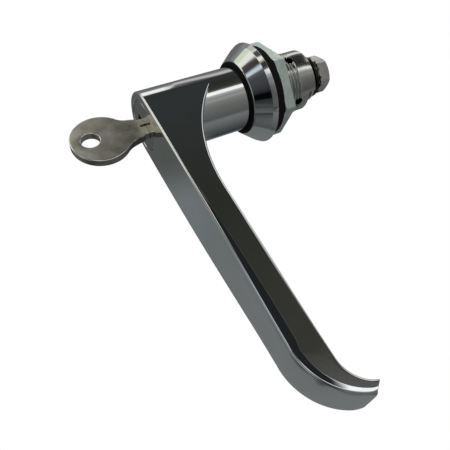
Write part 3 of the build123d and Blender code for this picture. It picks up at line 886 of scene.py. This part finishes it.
# Rings: the neck ring, the gasket and the flat washers
def make_neck_ring():
    """Rubber ring in the cone's nose, with a lip that lies over the nose."""
    bm = bmesh.new()
    bore, lip_y = NECK_R + SEAL_GAP, NOSE_Y - SEAL_LIP
    section = [(lip_y, bore), (lip_y, LIP_R), (NOSE_Y, LIP_R), (NOSE_Y, SEAL_BORE_R),
               (SEAL_END, SEAL_BORE_R), (SEAL_END, bore)]
    lathe(bm, rounded(section, SEAL_EDGE, closed=True), steps=128)
    return bm


def make_ring(y0, y1, inner, outer, edge):
    """A ring as a mesh of its own."""
    bm = bmesh.new()
    ring(bm, y0, y1, inner, outer, edge)
    return bm


# The pieces
finish_mesh("lever_handle", make_lever(), "handle", chrome, replaces=("l_handle",),
            weld=0.003)
# The spindle is near-black as painted shade, seen inside the barrel
finish_mesh("spindle", make_spindle(), "handle", shade_painted_metal)
finish_mesh("escutcheon", make_escutcheon(), "body", chrome, replaces=("housing",),
            sharp=24)
barrel = finish_mesh("threaded_barrel", make_barrel(), "body", barrel_metal, sharp=50,
                     weld=0.002)
gasket_ring = make_ring(FIT_GAP, GASKET_END - FIT_GAP, GASKET_BORE_R, GASKET_R, GASKET_EDGE)
finish_mesh("gasket", gasket_ring, "body", rubber, replaces=("panel_gasket",))
finish_mesh("neck_ring", make_neck_ring(), "body", rubber, replaces=("neck_seal",))
nut = hexagon(GASKET_END, NUT_END, NUT_FLATS, NUT_TURN, NUT_CUT, NUT_CUT, THREAD_R, NUT_LEAD)
finish_mesh("panel_nut", nut, "body", nut_metal, replaces=("mounting_nut",), sharp=20,
            bevel=0.14)
keyed_ring = make_ring(KEYED_Y, SPACER_Y, FLATS_R, KEYED_R, KEYED_EDGE)
finish_mesh("bright_washer", keyed_ring, "handle", washer_metal, replaces=("keyed_washer",))
# The flat washer is near-black as painted shade between the stop sector and the screw head
plain_ring = make_ring(PLAIN_Y, TOOTH_Y, WASHER_BORE_R, PLAIN_R, PLAIN_EDGE)
finish_mesh("flat_washer", plain_ring, "handle", shade_painted_metal, replaces=("plain_washer",))
finish_mesh("lock_washer", make_tooth_washer(), "handle", tooth_metal, replaces=("tooth_washer",))
finish_mesh("hex_screw", make_screw(), "handle", screw_metal, replaces=("cam_screw",),
            sharp=20, bevel=0.08)
key = finish_mesh("door_key", make_key(), "key", key_metal, replaces=("key",), weld=1e-3)

# The barrel's bore, window walls and inner end faces are painted near-black as shade, to just short of the
# stop sector's end
SHADE_END = STOP_TOP - 0.5
SHADE_R = THREAD_ROOT - 0.2
barrel.data.materials.append(shade_painted_metal)
for face in barrel.data.polygons:
    x, y, z = face.center / MM
    face.material_index = int(y < SHADE_END and sqrt(x * x + z * z) < SHADE_R)

# The key's rounded edges, where they turn away from its flat sides, are lighter and smoother: rubbed wear,
# and a painted highlight along them
WEAR_AND_SHEEN_LEAST, WEAR_AND_SHEEN_MOST = 0.5, 0.98
key.data.materials.append(key_edge_wear_and_sheen)
for face in key.data.polygons:
    face.material_index = int(WEAR_AND_SHEEN_LEAST < abs(face.normal.x) < WEAR_AND_SHEEN_MOST)


# Camera at the photograph's viewpoint: focal length, place, and the ways up and back
LENS = 40.79
CAMERA_PLACE = (0.10076, -0.07323, -0.09706)
CAMERA_UP = (0.5746, 0.3447, 0.7423)
CAMERA_BACK = (0.813, -0.3451, -0.469)

camera_data = bpy.data.cameras.new("camera")
camera = bpy.data.objects.new("camera", camera_data)
bpy.context.scene.collection.objects.link(camera)
camera_data.sensor_width = 36.0
camera_data.lens = LENS
camera_data.clip_start = 0.005
up = Vector(CAMERA_UP)
back = Vector(CAMERA_BACK).normalized()
up = (up - back * up.dot(back)).normalized()
place = Matrix((up.cross(back), up, back)).transposed().to_4x4()
place.translation = Vector(CAMERA_PLACE)
camera.matrix_world = place
bpy.context.scene.camera = camera


# Small node maths for the world and the studio
def maths(tree, operation, a, b=None):
    """One sum on numbers or node outputs."""
    node = tree.nodes.new("ShaderNodeMath")
    node.operation = operation
    for socket, value in zip(node.inputs, (a, b)):
        if isinstance(value, (int, float)):
            socket.default_value = value
        elif value is not None:
            link(tree, value, socket)
    return node.outputs[0]


def smooth_step(tree, value, low, high):
    """0 below low, 1 above high and smooth between; the other way round if low is above high."""
    node = tree.nodes.new("ShaderNodeMapRange")
    node.interpolation_type = "SMOOTHSTEP"
    node.inputs["From Min"].default_value = low
    node.inputs["From Max"].default_value = high
    link(tree, value, node.inputs["Value"])
    return node.outputs["Result"]


def mixed(tree, share, a, b):
    """Colour a where share is 0 and b where it is 1."""
    node = tree.nodes.new("ShaderNodeMix")
    node.data_type = "RGBA"
    link(tree, share, node.inputs["Factor"])
    for socket, value in ((node.inputs[6], a), (node.inputs[7], b)):
        if isinstance(value, tuple):
            socket.default_value = (*value, 1)
        else:
            link(tree, value, socket)
    return node.outputs[2]


# World: white to the camera, gloss and glass, a little softer to dull surfaces
world = bpy.data.worlds.new("world")
bpy.context.scene.world = world
world.use_nodes = True
tree = world.node_tree
path = tree.nodes.new("ShaderNodeLightPath")
seen = maths(tree, "MAXIMUM", path.outputs["Is Camera Ray"], path.outputs["Is Glossy Ray"])
seen = maths(tree, "MAXIMUM", seen, path.outputs["Is Transmission Ray"])
level = tree.nodes.new("ShaderNodeMapRange")
level.inputs["To Min"].default_value = 0.85
level.inputs["To Max"].default_value = 1.0
link(tree, seen, level.inputs["Value"])
background = tree.nodes["Background"]
background.inputs["Color"].default_value = (1, 1, 1, 1)
link(tree, level.outputs["Result"], background.inputs["Strength"])


def stage_piece(name, bm, material):
    """A piece of the studio, which isn't part of the lock."""
    mesh = bpy.data.meshes.new(name)
    bm.to_mesh(mesh)
    bm.free()
    mesh.materials.append(material)
    obj = bpy.data.objects.new(name, mesh)
    bpy.context.scene.collection.objects.link(obj)
    return obj


# Pale floor under the lock, out of the polished metal's reflections
FLOOR_Z, FLOOR_HALF = -0.16, 0.6
floor_material, tree, shader = new_material("floor")
shader.inputs["Base Color"].default_value = (0.9, 0.9, 0.9, 1)
shader.inputs["Roughness"].default_value = 0.8
bm = bmesh.new()
level_floor = Matrix.Translation((0, 0, FLOOR_Z))
bmesh.ops.create_grid(bm, x_segments=1, y_segments=1, size=FLOOR_HALF, matrix=level_floor)
floor = stage_piece("floor", bm, floor_material)
floor.visible_glossy = False

# Studio round the lock that only the metal sees: a dim tent with a side strip and an overhead softbox
TENT_R = 2.0
studio = bpy.data.materials.new("studio")
studio.use_nodes = True
tree = studio.node_tree
tree.nodes.remove(tree.nodes["Principled BSDF"])
where = tree.nodes.new("ShaderNodeTexCoord")
unit = tree.nodes.new("ShaderNodeVectorMath")
unit.operation = "NORMALIZE"
link(tree, where.outputs["Object"], unit.inputs[0])
split = tree.nodes.new("ShaderNodeSeparateXYZ")
link(tree, unit.outputs[0], split.inputs[0])
along = split.outputs["Y"]
around = maths(tree, "ARCTAN2", split.outputs["Z"], split.outputs["X"])
around = maths(tree, "MULTIPLY", around, 180 / pi)
share = maths(tree, "DIVIDE", maths(tree, "ADD", around, 180), 360)


def tent_ramp(stops):
    """Colour by the angle about the lock axis, in degrees from +X towards +Z."""
    return ramp(tree, share, [((angle + 180) / 360, colour) for angle, colour in stops])


rear_side = tent_ramp([
    (-180, (0.042, 0.044, 0.046)),
    (-147, (0.10, 0.105, 0.105)),
    (-104, (0.225, 0.24, 0.24)),
    (-99, (0.20, 0.21, 0.21)),
    (-92, (0.125, 0.13, 0.125)),
    (-57, (0.20, 0.205, 0.195)),
    (-40, (0.28, 0.285, 0.27)),
    (-31, (0.42, 0.425, 0.41)),
    (-23, (0.36, 0.36, 0.35)),
    (-15, (0.62, 0.62, 0.60)),
    (0, (0.21, 0.21, 0.20)),
    (6, (0.058, 0.058, 0.050)),
    (12, (0.048, 0.050, 0.042)),
    (28, (0.034, 0.037, 0.031)),
    (46, (0.042, 0.048, 0.048)),
    (54, (0.038, 0.041, 0.038)),
    (62, (0.10, 0.10, 0.10)),
    (80, (0.35, 0.35, 0.35)),
    (95, (0.20, 0.20, 0.20)),
    (130, (0.13, 0.135, 0.13)),
    (141, (0.105, 0.115, 0.11)),
    (146, (0.215, 0.235, 0.24)),
    (170, (0.12, 0.13, 0.135)),
    (180, (0.042, 0.044, 0.046)),
])
front_side = tent_ramp([
    (-180, (0.065, 0.07, 0.072)),
    (-117, (0.075, 0.08, 0.082)),
    (-111, (0.048, 0.05, 0.052)),
    (-103, (0.05, 0.052, 0.054)),
    (-96, (0.08, 0.085, 0.087)),
    (-76, (0.044, 0.047, 0.05)),
    (-71, (0.03, 0.032, 0.034)),
    (-69, (0.003, 0.003, 0.004)),
    (-55, (0.003, 0.003, 0.004)),
    (-50, (0.024, 0.026, 0.028)),
    (-39, (0.05, 0.054, 0.058)),
    (-20, (0.075, 0.08, 0.085)),
    (-6, (0.08, 0.085, 0.09)),
    (4, (0.13, 0.14, 0.145)),
    (28, (0.075, 0.076, 0.072)),
    (37, (0.13, 0.13, 0.12)),
    (48, (0.22, 0.22, 0.20)),
    (95, (0.17, 0.17, 0.16)),
    (140, (0.21, 0.23, 0.24)),
    (180, (0.10, 0.105, 0.11)),
])
colour = mixed(tree, smooth_step(tree, along, -0.60, -0.42), front_side, rear_side)


def tent_patch(colour, value, angles, reach, tint):
    """Lay a tint on the tent. Angles and reach say between which values it grows and fades.

    Angles are read off the value, which is the angle about the axis, and reach off the place along it.
    """
    share = None
    for source, edges in ((value, angles), (along, reach)):
        for low, high in edges:
            step = smooth_step(tree, source, low, high)
            share = step if share is None else maths(tree, "MULTIPLY", share, step)
    return mixed(tree, share, colour, tint)


def sloped(value, slope, start):
    """A straight line: start where the value is 0, rising by slope."""
    return maths(tree, "ADD", maths(tree, "MULTIPLY", value, slope), start)


# Lighter low front and rear on the far side
below_zero = maths(tree, "LESS_THAN", around, 0.0)
turned = maths(tree, "ADD", around, maths(tree, "MULTIPLY", below_zero, 360.0))
colour = tent_patch(colour, turned, ((148, 160), (204, 196)), ((-0.58, -0.48), (-0.24, -0.32)),
                    (0.21, 0.225, 0.225))
colour = tent_patch(colour, turned, ((152, 166), (214, 208)), ((-0.40, -0.28), (0.38, 0.32)),
                    (0.215, 0.225, 0.225))

# Lighter straight in front, and low down on the far side behind the lock
everywhere = ((-400, -390), (400, 390))
colour = tent_patch(colour, around, everywhere, ((-1.2, -1.1), (-0.77, -0.86)), (0.32, 0.335, 0.34))
colour = tent_patch(colour, turned, ((165, 178), (245, 230)), ((0.45, 0.52), (1.2, 1.1)),
                    (0.20, 0.205, 0.20))

# Warm card high on the near front side, which lights the key
colour = tent_patch(colour, around, ((14, 26), (74, 62)), ((-0.50, -0.40), (-0.02, -0.12)),
                    (1.2, 1.14, 1.0))
colour = tent_patch(colour, around, ((31, 40), (74, 62)), ((-0.12, -0.06), (0.14, 0.08)),
                    (1.3, 1.3, 1.25))

# Narrow strip light beside the lock
strip = maths(tree, "MULTIPLY", smooth_step(tree, around, -15, -11), smooth_step(tree, around, 0.5, -3))
strip = maths(tree, "MULTIPLY", strip, smooth_step(tree, along, -0.50, -0.42))
colour = mixed(tree, strip, colour, (1.42, 1.42, 1.40))

# Overhead softbox between two slanting edges, both lifted over a short stretch, and brightest at both ends
lift = maths(tree, "MULTIPLY", smooth_step(tree, along, 0.42, 0.33), smooth_step(tree, along, 0.315, 0.33))
lift = maths(tree, "MULTIPLY", lift, 15.0)
low_edge = sloped(along, 21.6, 54.0)
for slope, start in ((55.0, 40.0), (-250.0, -135.0)):
    low_edge = maths(tree, "MAXIMUM", low_edge, sloped(along, slope, start))
high_edge = sloped(maths(tree, "ABSOLUTE", along), 30.0, 67.0)
high_edge = maths(tree, "MAXIMUM", high_edge, sloped(along, 55.0, 58.0))
above = maths(tree, "SUBTRACT", around, maths(tree, "ADD", low_edge, lift))
below = maths(tree, "SUBTRACT", maths(tree, "ADD", high_edge, lift), around)
softbox = maths(tree, "MULTIPLY", smooth_step(tree, above, -2.0, 3.0), smooth_step(tree, below, -4.0, 3.0))
position = sloped(along, 0.5, 0.5)
box_colour = ramp(tree, position, [(0.37, (1.12, 1.12, 1.02)), (0.42, (0.66, 0.66, 0.63)),
                                   (0.73, (0.64, 0.64, 0.63)), (0.765, (1.2, 1.2, 1.18))])
colour = mixed(tree, softbox, colour, box_colour)

# Over the softbox: a white spot behind, a greenish one in front and a dark gap in the warm card
colour = tent_patch(colour, around, ((59, 66), (86, 76)), ((0.20, 0.25), (0.33, 0.30)),
                    (1.35, 1.35, 1.32))
colour = tent_patch(colour, around, ((59, 62), (79, 75)), ((-0.37, -0.34), (-0.17, -0.20)),
                    (0.86, 0.97, 0.76))
colour = tent_patch(colour, around, ((28, 34), (53, 46)), ((-0.33, -0.30), (-0.19, -0.23)),
                    (0.09, 0.10, 0.10))

# Small blue-white window in front, a dark gap and a faint line beside the lever, and a card behind the lock
colour = tent_patch(colour, around, ((5, 12), (25, 15)), ((-0.80, -0.68), (-0.42, -0.52)),
                    (0.80, 0.90, 0.98))
colour = tent_patch(colour, around, ((-11, -7), (38, 30)), ((-0.12, -0.06), (0.22, 0.165)),
                    (0.02, 0.022, 0.024))
colour = tent_patch(colour, around, ((2, 10), (32, 24)), ((0.20, 0.225), (0.285, 0.26)),
                    (0.12, 0.125, 0.115))
colour = tent_patch(colour, around, ((15, 25), (85, 75)), ((0.66, 0.72), (1.3, 1.2)),
                    (1.1, 1.1, 1.1))

# Plain straight behind, where all angles meet
colour = tent_patch(colour, around, everywhere, ((0.84, 0.95), (1.3, 1.2)), (0.32, 0.33, 0.33))

glow = tree.nodes.new("ShaderNodeEmission")
link(tree, colour, glow.inputs["Color"])
link(tree, glow.outputs[0], tree.nodes["Material Output"].inputs["Surface"])
bm = bmesh.new()
bmesh.ops.create_uvsphere(bm, u_segments=64, v_segments=32, radius=TENT_R)
tent = stage_piece("tent", bm, studio)
tent.visible_camera = False
tent.visible_diffuse = False
tent.visible_shadow = False
tent.visible_transmission = False


def lamp(name, direction, width, height, power):
    """Soft rectangular lamp, one metre from the lock in a direction, that lights its dull surfaces."""
    data = bpy.data.lights.new(name, "AREA")
    data.shape = "RECTANGLE"
    data.size = width
    data.size_y = height
    data.energy = power
    obj = bpy.data.objects.new(name, data)
    bpy.context.scene.collection.objects.link(obj)
    way = Vector(direction).normalized()
    obj.rotation_euler = way.to_track_quat("Z", "Y").to_euler()
    obj.location = way
    obj.visible_glossy = False


lamp("strip_side", (0.97, 0.12, -0.12), 1.0, 0.26, 2.0)
lamp("strip_top", (0.40, 0.05, 0.92), 0.3, 1.1, 3.0)

bpy.context.scene.view_settings.view_transform = "Standard"
